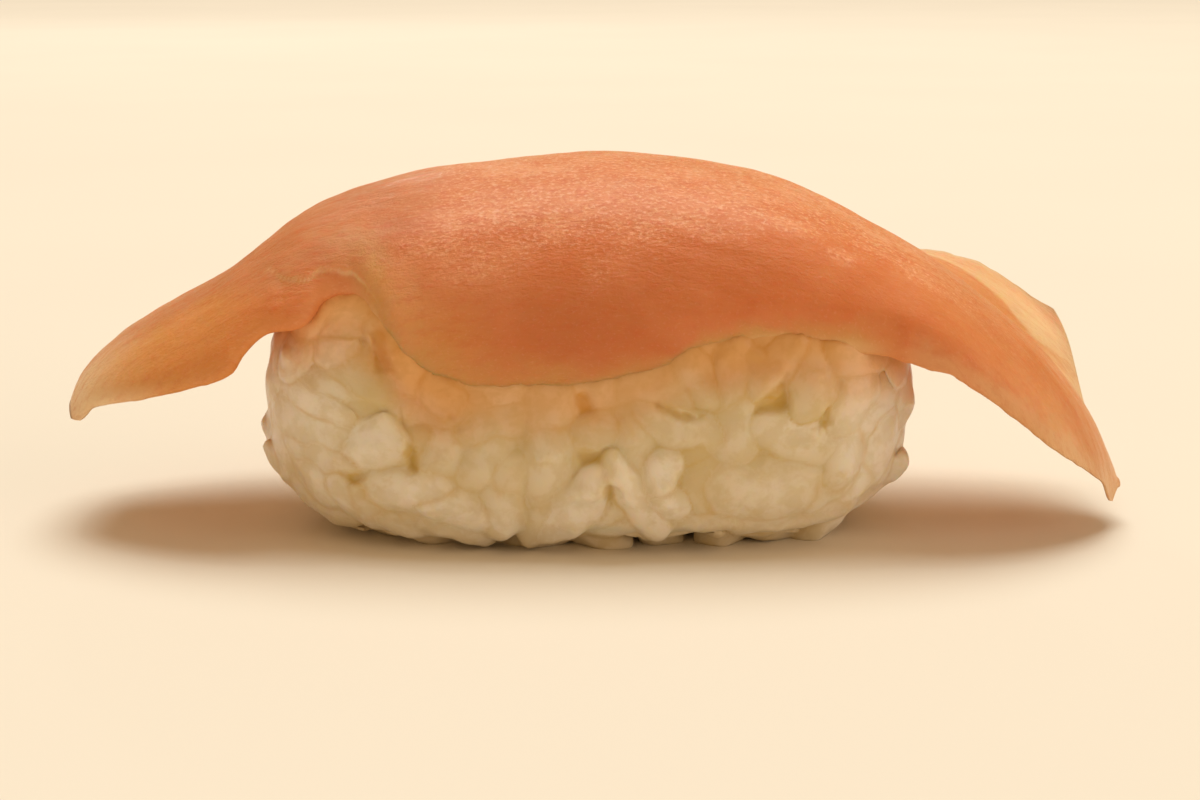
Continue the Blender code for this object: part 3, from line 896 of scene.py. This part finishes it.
def block_reach(points):
    """1 on the block's surface, less inside it, in proportion to the distance from its middle."""
    x, y, z = np.moveaxis(np.abs(points - BLOCK_MIDDLE), -1, 0)
    upper = points[..., 2] > BLOCK_WIDEST_HEIGHT
    half_height = np.where(upper, BLOCK_RISE, BLOCK_FALL)
    power = np.where(upper, BLOCK_UPPER_POWER, BLOCK_LOWER_POWER)
    plan = (x / BLOCK_HALF_LENGTH) ** BLOCK_PLAN_POWER + (y / BLOCK_HALF_WIDTH) ** BLOCK_PLAN_POWER
    return (plan ** (power / BLOCK_PLAN_POWER) + (z / half_height) ** power) ** (1 / power)


def block_slope(points):
    """How fast block_reach rises at each point, as a vector."""
    step = 0.05
    rises = [block_reach(points + part) - block_reach(points - part) for part in np.eye(3) * step]
    return np.stack(rises, axis=-1) / (2 * step)


def block_depth(points):
    """How far below the block's surface each point lies, in millimetres, if it lies near it."""
    return (1 - block_reach(points)) / np.linalg.norm(block_slope(points), axis=-1)


def block_front(x, z):
    """The y of the block's front at a place in its front view."""
    upper = z > BLOCK_WIDEST_HEIGHT
    half_height = BLOCK_RISE if upper else BLOCK_FALL
    power = BLOCK_UPPER_POWER if upper else BLOCK_LOWER_POWER
    side = 1 - (abs(z - BLOCK_WIDEST_HEIGHT) / half_height) ** power
    plan = max(side, 0.0) ** (BLOCK_PLAN_POWER / power)
    width = max(plan - (abs(x - BLOCK_MIDDLE_X) / BLOCK_HALF_LENGTH) ** BLOCK_PLAN_POWER, 0.02)
    return -BLOCK_HALF_WIDTH * width ** (1 / BLOCK_PLAN_POWER)


def lay_grain(spot, lean, length, width, whiteness, proud, tilt, taper, bend):
    """A grain whose outer side stands proud of the block at the spot, and less so near the floor."""
    out = unit(block_slope(spot))
    proud -= FOOT_INSET * smooth(3.5, 0.0, spot[2])
    level = unit(np.cross((0.0, 0.0, 1.0), out))
    rising = np.cross(out, level)
    along = math.cos(lean) * level + math.sin(lean) * rising
    middle = spot + out * (proud - width * GRAIN_HEIGHT_SHARE / 2)
    tilted = math.cos(tilt) * along + math.sin(tilt) * out
    outward = unit(np.cross(tilted, np.cross(out, tilted)))
    return Grain(middle, tilted, outward, length, width, whiteness, taper, bend)


def front_grains(chance):
    """The grains of the table, laid on the block's front."""
    for x, z, length, width, lean, whiteness, proud in FRONT_GRAINS:
        spot = np.array([x, block_front(x, z), z])
        length = length * FRONT_GRAIN_GROWTH
        width = width * FRONT_GRAIN_GROWTH
        yield lay_grain(spot, math.radians(lean), length, width, whiteness, proud,
                        tilt=chance.gauss(0, LAID_TILT), taper=chance.uniform(-0.12, 0.12),
                        bend=chance.uniform(-0.3, 0.3))


def is_covered(spot):
    """True under the slice, where no grain would show."""
    edge = through(FRONT_EDGE if spot[1] < 0 else BACK_EDGE, spot[0])
    return abs(spot[0]) < COVERED_REACH and spot[2] > edge + COVERED_BY_SLICE


def scattered_grains(chance, taken, spacing, proud, proud_spread, whiteness):
    """Grains spread over the block's surface, each a spacing clear of the others' middles."""
    spots = [grain.middle for grain in taken]
    for _ in range(GRAIN_TRIES):
        direction = unit(np.array([chance.gauss(0, 1) for _ in range(3)]) * GRAIN_DIRECTIONS)
        spot = BLOCK_MIDDLE + direction / block_reach(BLOCK_MIDDLE + direction)
        if spot[2] < LOWEST_SPOT or is_covered(spot):
            continue
        if spots and min(np.linalg.norm(np.array(spots) - spot, axis=1)) < spacing:
            continue
        size = chance.gauss(1, GRAIN_SIZE_SPREAD)
        spots.append(spot)
        yield lay_grain(
            spot,
            lean=chance.uniform(0, math.pi),
            length=GRAIN_LENGTH * size,
            width=GRAIN_WIDTH * chance.gauss(1, 0.08),
            whiteness=min(1.0, max(0.0, chance.gauss(whiteness, 0.17))),
            proud=proud + chance.uniform(-1, 1) * proud_spread,
            tilt=chance.gauss(0, GRAIN_TILT),
            taper=chance.uniform(-0.15, 0.15),
            bend=chance.uniform(-0.4, 0.4),
        )


def ball(rounds):
    """The vertices and faces of a ball of radius 1."""
    mesh = bmesh.new()
    bmesh.ops.create_icosphere(mesh, subdivisions=rounds, radius=1)
    points = np.array([vertex.co[:] for vertex in mesh.verts])
    faces = np.array([[vertex.index for vertex in face.verts] for face in mesh.faces])
    mesh.free()
    return points, faces


def unevenness(points):
    """How far a grain's surface strays at each point, as a vector."""
    strays = [noise(points / UNEVENNESS_SPAN, seed) for seed in (41, 42, 43)]
    return GRAIN_UNEVENNESS * np.stack(strays, axis=-1)


def grain_points(points, grain):
    """A ball's points made into a cooked grain: blunt, a little bent, and thicker at one end."""
    t = points[:, 0]
    ball_radius = np.sqrt(np.maximum(1 - t**2, 1e-9))
    radius = np.sqrt(np.maximum(1 - np.abs(t) ** GRAIN_BLUNTNESS, 1e-9)) * (1 + grain.taper * t)
    side = np.cross(grain.out, grain.along)
    local = np.stack([
        t * grain.length / 2,
        points[:, 1] * radius / ball_radius * grain.width / 2 + grain.bend * (t**2 - GRAIN_BEND_STILL),
        points[:, 2] * radius / ball_radius * grain.width * GRAIN_HEIGHT_SHARE / 2,
    ], axis=-1)
    placed = grain.middle + local @ np.stack([grain.along, side, grain.out])
    return placed + unevenness(placed)


def joined_grains(grains):
    """The vertices and faces of all the grains."""
    points, faces = ball(GRAIN_ROUNDS)
    all_points = np.concatenate([grain_points(points, grain) for grain in grains])
    all_faces = np.concatenate([faces + len(points) * i for i in range(len(grains))])
    return all_points, all_faces


def core_points(points):
    """A ball's points moved onto the block's surface, inset and uneven."""
    directions = unit(points)
    reach = block_reach(BLOCK_MIDDLE + directions)
    surface = directions / reach[:, None]
    length = np.linalg.norm(surface, axis=1, keepdims=True)
    lumps = CORE_LUMPS * noise(surface * 0.5, 91)[:, None]
    foot = CORE_FOOT_INSET * smooth(4.0, 0.5, surface[:, 2:] + BLOCK_WIDEST_HEIGHT)
    return BLOCK_MIDDLE + surface * (length - CORE_INSET - foot + lumps) / length


def tucked_under(points, shape):
    """The points, with those that reach into the slice moved to just below its underside."""
    lower = shape.bottom.reshape(-1, 3)
    up = upward(shape.bottom).reshape(-1, 3)
    covered = smooth(FREE_EDGE, FREE_EDGE - FREE_EDGE_SOFTNESS, -shape.v.ravel())
    tree = KDTree(len(lower))
    for i, spot in enumerate(lower):
        tree.insert(spot, i)
    tree.balance()
    near = np.array([tree.find(spot)[1] for spot in points])
    from_lower = points - lower[near]
    above = np.sum(from_lower * up[near], axis=1)
    sideways = np.linalg.norm(from_lower - above[:, None] * up[near], axis=1)
    tucked = np.where((above > -SLICE_GAP) & (sideways < TUCKED_SIDEWAYS), covered[near], 0.0)
    return points - (tucked * (above + SLICE_GAP))[:, None] * up[near]


def hollow_from(points):
    """The depth at which a hollow between the grains begins."""
    x, y, z = points.T
    return PRESSED_FROM - through(RAISED, x) * smooth(*RAISED_FROM, z) * smooth(0.0, -6.0, y)


def pressed(points):
    """The points, with the hollows between grains made shallower, as in a block pressed by hand."""
    hollow = np.clip(block_depth(points) - hollow_from(points), 0.0, PRESSED_TO)
    left = DEEPEST_HOLLOW * (1 - np.exp(-hollow * PRESSED_SHARE / DEEPEST_HOLLOW))
    lift = (hollow - left) * smooth(*LOOSE_FOOT, points[:, 2])
    return points + unit(block_slope(points)) * lift[:, None]


def fill_creases(obj):
    """Smooths the hollows between grains, and leaves what stands out as it is."""
    mesh = obj.data
    ends = np.empty(len(mesh.edges) * 2, np.int64)
    mesh.edges.foreach_get("vertices", ends)
    start, end = ends.reshape(-1, 2).T
    count = len(mesh.vertices)
    neighbours = np.bincount(start, minlength=count) + np.bincount(end, minlength=count)
    points = points_of(obj)
    for _ in range(WEB_ROUNDS):
        normals = np.empty(count * 3)
        mesh.vertex_normals.foreach_get("vector", normals)
        normals = normals.reshape(-1, 3)
        mean = np.stack([
            np.bincount(start, points[end, axis], count) + np.bincount(end, points[start, axis], count)
            for axis in range(3)
        ], axis=-1) / neighbours[:, None]
        rise = np.sum((mean - points) * normals, axis=1)
        points += np.maximum(rise, 0.0)[:, None] * normals
        move_points(obj, points)


def drop_specks(obj):
    """Deletes the tiny closed specks that fusing leaves, so that one skin is left."""
    mesh = bmesh.new()
    mesh.from_mesh(obj.data)
    unseen = set(mesh.verts)
    parts = []
    while unseen:
        front = {unseen.pop()}
        part = set()
        while front:
            part |= front
            front = {edge.other_vert(vertex) for vertex in front for edge in vertex.link_edges} & unseen
            unseen -= front
        parts.append(part)
    parts.sort(key=len)
    specks = [vertex for part in parts[:-1] for vertex in part]
    bmesh.ops.delete(mesh, geom=specks, context="VERTS")
    mesh.to_mesh(obj.data)
    mesh.free()


def fuse(obj):
    """Makes one skin of the overlapping grains, with a soft web between them."""
    remesh = obj.modifiers.new("fuse", "REMESH")
    remesh.mode = "VOXEL"
    remesh.voxel_size = FUSING_CELL * MM
    soften = obj.modifiers.new("soften", "SMOOTH")
    soften.factor = 0.5
    soften.iterations = 1
    apply_modifiers(obj)
    move_points(obj, pressed(points_of(obj)))
    fill_creases(obj)
    thin_out = obj.modifiers.new("thin_out", "DECIMATE")
    thin_out.ratio = min(1.0, RICE_TRIANGLES / (2 * len(obj.data.polygons)))
    apply_modifiers(obj)
    drop_specks(obj)
    obj.data.shade_smooth()


def unpressed(points):
    """Undoes pressed(), as far as a point's grain is to be known by its place."""
    left = np.clip(block_depth(points) - hollow_from(points), 0.0, 0.88 * DEEPEST_HOLLOW)
    hollow = -DEEPEST_HOLLOW / PRESSED_SHARE * np.log(1 - left / DEEPEST_HOLLOW)
    lift = (hollow - left) * smooth(*LOOSE_FOOT, points[:, 2])
    return points - unit(block_slope(points)) * lift[:, None]


def inside_grain(points, grain):
    """About how far inside a grain each point lies, in millimetres, and its place in the grain."""
    side = np.cross(grain.out, grain.along)
    local = (points - unevenness(points) - grain.middle) @ np.stack([grain.along, side, grain.out]).T
    t = local[:, 0] / (grain.length / 2)
    across = (local[:, 1] - grain.bend * (t**2 - GRAIN_BEND_STILL)) / (grain.width / 2)
    outward = local[:, 2] / (grain.width * GRAIN_HEIGHT_SHARE / 2)
    girth = np.maximum(1 + grain.taper * t, 0.3)
    filled = np.abs(t) ** GRAIN_BLUNTNESS + (across**2 + outward**2) / girth**2
    return (1 - filled) * grain.width / 4, np.stack([t, across, outward], axis=-1)


def grain_tones(points, grains):
    """How white each point is, how near to the next grain, and its place in its own grain."""
    points = unpressed(points)
    best = np.full(len(points), FAR_OUTSIDE)
    second = np.full(len(points), FAR_OUTSIDE)
    whiteness = np.zeros(len(points))
    grain_place = np.zeros((len(points), 3))
    for number, grain in enumerate(grains):
        near = np.flatnonzero(np.linalg.norm(points - grain.middle, axis=1) < 0.8 * grain.length)
        inside, own = inside_grain(points[near], grain)
        wins = inside > best[near]
        second[near] = np.where(wins, best[near], np.maximum(second[near], inside))
        won = near[wins]
        best[won] = inside[wins]
        heart = smooth(1.0, 0.2, np.abs(own[wins, 0])) * smooth(1.0, 0.2, np.abs(own[wins, 1]))
        whiteness[won] = grain.whiteness * smooth(-0.2, 0.7, own[wins, 2]) * (0.5 + 0.5 * heart)
        half = np.array([grain.length, grain.width, grain.width]) / 2
        grain_place[won] = own[wins] * half + number * GRAIN_PATTERN_SHIFT
    return whiteness, smooth(SEAM_WIDTH, 0.0, best - second), grain_place


def rice_material(settings):
    shading = Shading("rice_grain")
    place = shading.place()
    cloud = shading.noise(place, scale=0.45, detail=3.0)
    fine = shading.noise(place, scale=2.2, detail=3.0, roughness=0.6)
    milk = shading.noise(shading.vector("grain_place"), scale=0.6, detail=4.0, roughness=0.6)
    # The grains' own whiteness, with painted light laid into it.
    whiteness = shading.number("whiteness")
    colour = shading.layered(
        settings.clear_grain,
        (whiteness, settings.white_grain),
        (shading.between(cloud, 0.4, 0.7, end=0.3), settings.clear_grain),
        (shading.times(shading.between(milk, 0.4, 0.6, end=0.8), whiteness), settings.chalk),
        # Painted shade between the grains.
        (shading.number("crevice"), settings.crevice),
    )
    # Painted orange light from the fish.
    colour = shading.mix(shading.number("stain"), colour, settings.stain, "MULTIPLY")
    shading.finish(
        Base_Color=colour,
        Roughness=shading.between(fine, 0.35, 0.65, start=0.32, end=0.5),
        Subsurface_Weight=shading.between(shading.number("shut_in"), 0.0, 1.0, start=1.0, end=0.0),
        Subsurface_Radius=(1.0, 0.72, 0.4),
        Subsurface_Scale=0.65 * MM,
        Specular_IOR_Level=0.4,
        Coat_Weight=0.2,
        Coat_Roughness=0.12,
        Normal=shading.bump(fine, 0.05, 0.5, shading.bump(cloud, 0.25, 0.6)),
    )
    return shading.material


def amber(points):
    """1 in the amber gaps in front, 0 elsewhere: the gaps are set in a little and get painted shade."""
    place = points[:, [0, 2]]
    inside = np.full(len(points), FAR_OUTSIDE)
    for corners in AMBER_GAPS:
        start = np.array(corners)
        along = unit(np.roll(start, -1, axis=0) - start)
        from_sides = [(place - corner) @ (side[1], -side[0]) for corner, side in zip(start, along)]
        inside = np.maximum(inside, np.min(from_sides, axis=0))
    return smooth(-0.3, 0.3, inside + 0.35 * noise(points * 1.4, 81)) * (points[:, 1] < 0)


def painted_light(points):
    """Painted light: how much whiter the rice is made at its ends and near the floor, where light falls and
    bounces in, and beside the fish, where it lifts the shade.
    """
    x, _, z = points.T
    below_edge = slice_edge(points) - z
    left_end = 0.45 * smooth(*LEFT_LIGHT_SPAN, x) * smooth(1.5, 5.5, z)
    right_end = 0.75 * smooth(*RIGHT_LIGHT_SPAN, x) * smooth(1.5, 5.0, z)
    foot = 0.4 * smooth(*FOOT_LIGHT_SPAN, z)
    at_notch = 0.42 * smooth(3.5, 0.5, below_edge) * smooth(-8.0, -13.0, x)
    beside_fish = 0.12 * smooth(0.9, 0.1, below_edge)
    return np.clip(left_end + right_end + foot + at_notch + beside_fish, 0.0, 0.9)


def slice_edge(points):
    """The height of the slice's lower edge at each point."""
    x, y, _ = points.T
    return np.where(y < 0, through(FRONT_EDGE, x), through(BACK_EDGE, x))


def fish_bleed_on_rice(points):
    """Painted light: how strongly each point of the rice takes on the fish's orange, as light passing through
    and off the fish colours it.
    """
    x, _, z = points.T
    strays = 1.2 * layered_noise(points * 0.35, 85)
    reach = 3.6 + 2.6 * band(*LEFT_BLEED_SPAN, x) + 1.8 * smooth(6.0, 12.0, x)
    strength = 0.76 + 0.24 * smooth(-6.0, -12.0, x) + 0.16 * smooth(3.0, 8.0, x)
    return strength * smooth(reach, -0.5, slice_edge(points) - z + strays)


def rice_skin(grains):
    """The block's mesh: the grains and the core below them, fused."""
    points, faces = joined_grains(grains)
    core, core_faces = ball(GRAIN_ROUNDS + 1)
    all_faces = np.concatenate([faces, core_faces + len(points)])
    obj = mesh_object("pressed_rice", np.concatenate([points, core_points(core)]), all_faces.tolist())
    fuse(obj)
    return obj


def rice_tints(places, grains):
    """Each of the rice's tints at each point, and the point's place in its own grain."""
    whiteness, seam, grain_place = grain_tones(places, grains)
    height = places[:, 2]
    seam = seam * smooth(-0.5, 0.4, layered_noise(places * 0.5, 87))
    hollow = smooth(0.5, 0.8, block_depth(places) - hollow_from(places))
    # Less painted shade low down, where the foot is lit.
    lit_foot = 1 - 0.7 * smooth(4.0, 1.5, height)
    beside_fish = smooth(1.6, 0.4, slice_edge(places) - height)
    return {
        # The grains' own whiteness, with painted light laid over it.
        "whiteness": whiteness + (1 - whiteness) * painted_light(places),
        "grain_place": grain_place,
        # Painted shade in the hollows and seams between the grains, and in the amber gaps.
        "crevice": np.clip((0.42 * seam + 0.7 * hollow) * lit_foot + 0.6 * amber(places), 0, 1),
        # Painted orange light from the fish.
        "stain": fish_bleed_on_rice(places),
        "shut_in": np.maximum(beside_fish, smooth(2.6, 1.2, height)),
    }


def build_rice(settings, shape):
    chance = random.Random(settings.seed)
    grains = list(front_grains(chance))
    grains += scattered_grains(chance, grains, GRAIN_SPACING, proud=0.5, proud_spread=0.4, whiteness=0.5)
    under = scattered_grains(chance, [], UNDER_GRAIN_SPACING, proud=-0.35, proud_spread=0.3, whiteness=0.22)
    grains += [grain for grain in under if grain.middle[2] > UNDER_GRAINS_FROM]
    obj = rice_skin(grains)
    places = points_of(obj)
    places = places - unit(block_slope(places)) * (AMBER_DEPTH * amber(places))[:, None]
    places = tucked_under(places, shape)
    places[:, 2] = np.maximum(places[:, 2], 0.0)
    move_points(obj, places)
    for name, values in rice_tints(places, grains).items():
        give_numbers(obj, name, values)
    obj.data.materials.append(rice_material(settings))
    return obj


class RiceSettings(bpy.types.PropertyGroup):
    seed: IntProperty(name="Seed", description="Of the grains that are spread by chance", default=5, min=0)
    # Also used for the painted light on the rice.
    white_grain: colour_property("White grain", "Of the whitest grains", (0.82, 0.74, 0.60))
    chalk: colour_property("Chalk", "The milky parts of the whitest grains", (0.90, 0.82, 0.71))
    clear_grain: colour_property("Clear grain", "Of the clear, yellower grains", (0.68, 0.525, 0.255))
    # Painted shade, amber, in the hollows, seams and gaps between the grains.
    crevice: colour_property("Crevice", "Deep between the grains", (0.66, 0.43, 0.10))
    # Painted orange light from the fish, laid over the rice beside it.
    stain: colour_property("Stain", "Tint of the rice beside the fish", (1.0, 0.57, 0.25))


class SUSHI_OT_add_rice(bpy.types.Operator):
    """Adds the pressed block of cooked rice"""

    bl_idname = "sushi.add_rice"
    bl_label = "Block of rice"

    def execute(self, context):
        obj = build_rice(context.scene.sushi_rice, slice_shape(context.scene.sushi_slice))
        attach(obj, "root")
        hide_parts("rice")
        return {"FINISHED"}


# The stage

def look_at(obj, target):
    obj.rotation_euler = (target - obj.location).to_track_quat("-Z", "Y").to_euler()


def add_camera():
    camera = bpy.data.cameras.new("camera")
    camera.lens = CAMERA_LENS
    camera.sensor_width = CAMERA_SENSOR
    camera.clip_start = 5 * MM
    obj = bpy.data.objects.new("camera", camera)
    bpy.context.scene.collection.objects.link(obj)
    target = Vector(CAMERA_TARGET) * MM
    towards = Vector((0, -math.cos(CAMERA_ELEVATION), math.sin(CAMERA_ELEVATION)))
    obj.location = target + towards * CAMERA_DISTANCE * MM
    look_at(obj, target)
    bpy.context.scene.camera = obj


def add_light(name, location, size, power, colour):
    light = bpy.data.lights.new(name, "AREA")
    light.shape = "DISK"
    light.size = size
    light.energy = power
    light.color = colour
    obj = bpy.data.objects.new(name, light)
    obj.location = location
    bpy.context.scene.collection.objects.link(obj)
    look_at(obj, Vector(LIGHT_TARGET))


def floor_material(settings):
    shading = Shading("pale_floor")
    clouds = shading.noise(shading.place(), scale=0.01)
    duller = [0.97 * part for part in settings.floor]
    colour = shading.mix(shading.between(clouds, 0.3, 0.7, end=0.5), settings.floor, duller)
    shading.finish(Base_Color=colour, Roughness=0.6, Specular_IOR_Level=0.0)
    return shading.material


def power_property(name, description, default):
    return FloatProperty(name=name, description=description, default=default, min=0.0)


class StageSettings(bpy.types.PropertyGroup):
    floor: colour_property("Floor", "Colour of the floor", (0.88, 0.81, 0.70))
    key_power: power_property("Key light", "Power of the light overhead", 68.0)
    lamp_power: power_property("Lamp", "Power of the small lamp behind", 0.2)
    glint_power: power_property("Glint", "Power of the small lamp overhead", 0.5)
    fill_power: power_property("Fill light", "Power of the light at the right", 2.4)
    room_light: power_property("Room light", "Strength of the light all round", 0.45)


class SUSHI_OT_add_stage(bpy.types.Operator):
    """Adds the floor, the lights and the camera"""

    bl_idname = "sushi.add_stage"
    bl_label = "Stage"

    def execute(self, context):
        settings = context.scene.sushi_stage
        corners = [(x * FLOOR_REACH, y * FLOOR_REACH, 0) for x, y in ((-1, -1), (1, -1), (1, 1), (-1, 1))]
        floor = mesh_object("floor", corners, [(0, 1, 2, 3)])
        floor.data.materials.append(floor_material(settings))
        floor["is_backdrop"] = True
        add_camera()
        for name, (location, size, colour) in LIGHTS.items():
            add_light(name, location, size, getattr(settings, f"{name}_power"), colour)
        world = bpy.data.worlds.new("room")
        world.use_nodes = True
        background = world.node_tree.nodes["Background"]
        background.inputs["Color"].default_value = ROOM_COLOUR
        background.inputs["Strength"].default_value = settings.room_light
        context.scene.world = world
        context.scene.view_settings.view_transform = "Standard"
        return {"FINISHED"}


class SUSHI_PT_panel(bpy.types.Panel):
    bl_idname = "SUSHI_PT_panel"
    bl_label = "Nigiri Sushi"
    bl_space_type = "VIEW_3D"
    bl_region_type = "UI"
    bl_category = "Sushi"

    def draw(self, context):
        scene = context.scene
        for part in ("slice", "rice", "stage"):
            settings = getattr(scene, f"sushi_{part}")
            for name in type(settings).__annotations__:
                self.layout.prop(settings, name)
            self.layout.operator(f"sushi.add_{part}")


CLASSES = (SliceSettings, RiceSettings, StageSettings, SUSHI_OT_add_slice, SUSHI_OT_add_rice,
           SUSHI_OT_add_stage, SUSHI_PT_panel)


def register():
    for cls in CLASSES:
        bpy.utils.register_class(cls)
    bpy.types.Scene.sushi_slice = PointerProperty(type=SliceSettings)
    bpy.types.Scene.sushi_rice = PointerProperty(type=RiceSettings)
    bpy.types.Scene.sushi_stage = PointerProperty(type=StageSettings)


def unregister():
    del bpy.types.Scene.sushi_slice
    del bpy.types.Scene.sushi_rice
    del bpy.types.Scene.sushi_stage
    for cls in reversed(CLASSES):
        bpy.utils.unregister_class(cls)


def main():
    register()
    bpy.ops.sushi.add_slice()
    bpy.ops.sushi.add_rice()
    bpy.ops.sushi.add_stage()
    boxes = {"cad": CAD_BOX, "visual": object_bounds()}
    {name: [list(corner) for corner in box] for name, box in boxes.items()}


if __name__ == "__main__":
    main()
